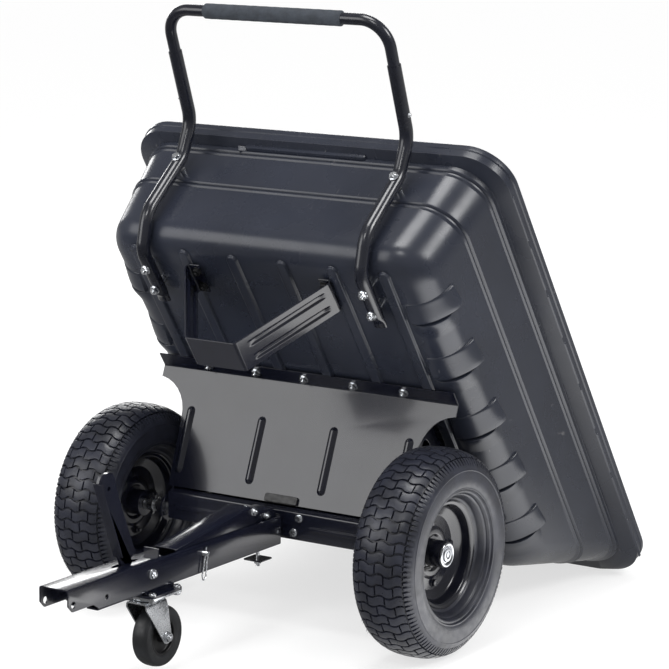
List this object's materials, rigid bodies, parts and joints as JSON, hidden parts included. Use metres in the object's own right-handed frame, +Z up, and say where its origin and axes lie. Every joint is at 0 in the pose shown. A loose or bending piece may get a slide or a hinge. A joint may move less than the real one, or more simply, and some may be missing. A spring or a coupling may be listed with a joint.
{
  "type": "garden tractor trailer",
  "caption": "Two-wheeled tipping garden trailer, shown tipped: moulded tub on a pressed steel frame, push handle, channel drawbar with latch lever and jockey caster.",
  "frame": {"origin": "on the ground under the middle of the length, on the trailer's centre line", "axes": "+Z up, -Y towards the hitch, +Y towards the tipped tub's rear rim, +X to the trailer's right seen from behind the hitch"},
  "size_m": [0.859, 1.4637, 1.2069],
  "materials": {
    "tub_plastic": "satin moulded polyethylene, charcoal",
    "frame_paint": "gloss black powder coat",
    "tube_paint": "satin black powder coat",
    "rim_paint": "gloss black paint",
    "zinc": "bright zinc plate",
    "chrome": "bright chrome",
    "tyre_rubber": "moulded tyre rubber, dark grey",
    "caster_rubber": "moulded solid rubber, grey",
    "black_plastic": "matte black",
    "foam": "closed-cell foam, slate",
    "steel_bar": "bright drawn bar"
  },
  "bodies": {
    "chassis": {"cross_member": "frame_paint", "axle": "steel_bar", "axle_bracket": "frame_paint", "drawbar": "frame_paint", "tongue": "frame_paint", "tongue_bracket": "frame_paint", "tongue_bolt": "zinc", "bracket_bolt_upper": "zinc", "bracket_bolt_lower": "zinc", "clamp_plate_inner": "frame_paint", "clamp_plate_outer": "frame_paint", "clamp_bolt": "zinc", "lever_bolt": "zinc", "caster_pad": "frame_paint", "caster_plate": "zinc", "caster_race": "zinc", "caster_kingpin": "zinc", "cross_washer_right": "zinc", "cross_washer_left": "zinc", "pivot_spacer_right": "zinc", "pivot_spacer_left": "zinc", "hub_spacer_right": "zinc", "hub_spacer_left": "zinc", "end_washer_right": "zinc", "end_washer_left": "zinc"},
    "tub_frame": {"tub": "tub_plastic", "front_plate": "frame_paint", "rear_plate": "frame_paint", "pivot_plate_right": "frame_paint", "pivot_plate_left": "frame_paint", "stop_buffer": "black_plastic", "saddle_bracket": "frame_paint", "handle_leg_right": "tube_paint", "handle_leg_left": "tube_paint", "handle_bow": "tube_paint", "handle_grip": "foam", "handle_button_right": "zinc", "handle_button_left": "zinc"},
    "latch_lever": {"latch_lever": "frame_paint", "lever_sleeve": "zinc"},
    "lock_pin": {"lock_pin": "zinc", "lock_clip": "zinc"},
    "caster_fork": {"caster_fork": "zinc", "caster_axle": "zinc"},
    "caster_wheel": {"caster_tyre": "caster_rubber", "caster_hub": "black_plastic"},
    "wheel_right": {"tyre_right": "tyre_rubber", "rim_outer_right": "rim_paint", "rim_inner_right": "rim_paint", "wheel_hub_right": "rim_paint", "hub_cap_right": "chrome", "valve_stem_right": "black_plastic"},
    "wheel_left": {"tyre_left": "tyre_rubber", "rim_outer_left": "rim_paint", "rim_inner_left": "rim_paint", "wheel_hub_left": "rim_paint", "hub_cap_left": "chrome", "valve_stem_left": "black_plastic"}
  },
  "joints": [
    {"name": "tub_tip", "type": "hinge", "parent": "chassis", "child": "tub_frame", "pos_m": [0, -0.04109, 0.2], "axis": [1, 0, 0], "range_deg": [0, 55.08]},
    {"name": "wheel_right_spin", "type": "hinge", "parent": "chassis", "child": "wheel_right", "pos_m": [0.35, -0.04109, 0.2], "axis": [1, 0, 0], "continuous": true},
    {"name": "wheel_left_spin", "type": "hinge", "parent": "chassis", "child": "wheel_left", "pos_m": [-0.35, -0.04109, 0.2], "axis": [1, 0, 0], "continuous": true},
    {"name": "caster_swivel", "type": "hinge", "parent": "chassis", "child": "caster_fork", "pos_m": [0, -0.46109, 0.15], "axis": [0, 0, 1], "continuous": true},
    {"name": "caster_wheel_spin", "type": "hinge", "parent": "caster_fork", "child": "caster_wheel", "pos_m": [0, -0.43108, 0.0735], "axis": [1, 0, 0], "continuous": true},
    {"name": "latch_lever_swing", "type": "hinge", "parent": "chassis", "child": "latch_lever", "pos_m": [0, -0.48908, 0.207], "axis": [1, 0, 0], "range_deg": [-8, 12]},
    {"name": "lock_pin_turn", "type": "hinge", "parent": "chassis", "child": "lock_pin", "pos_m": [0, -0.33109, 0.212], "axis": [1, 0, 0], "continuous": true}
  ]
}
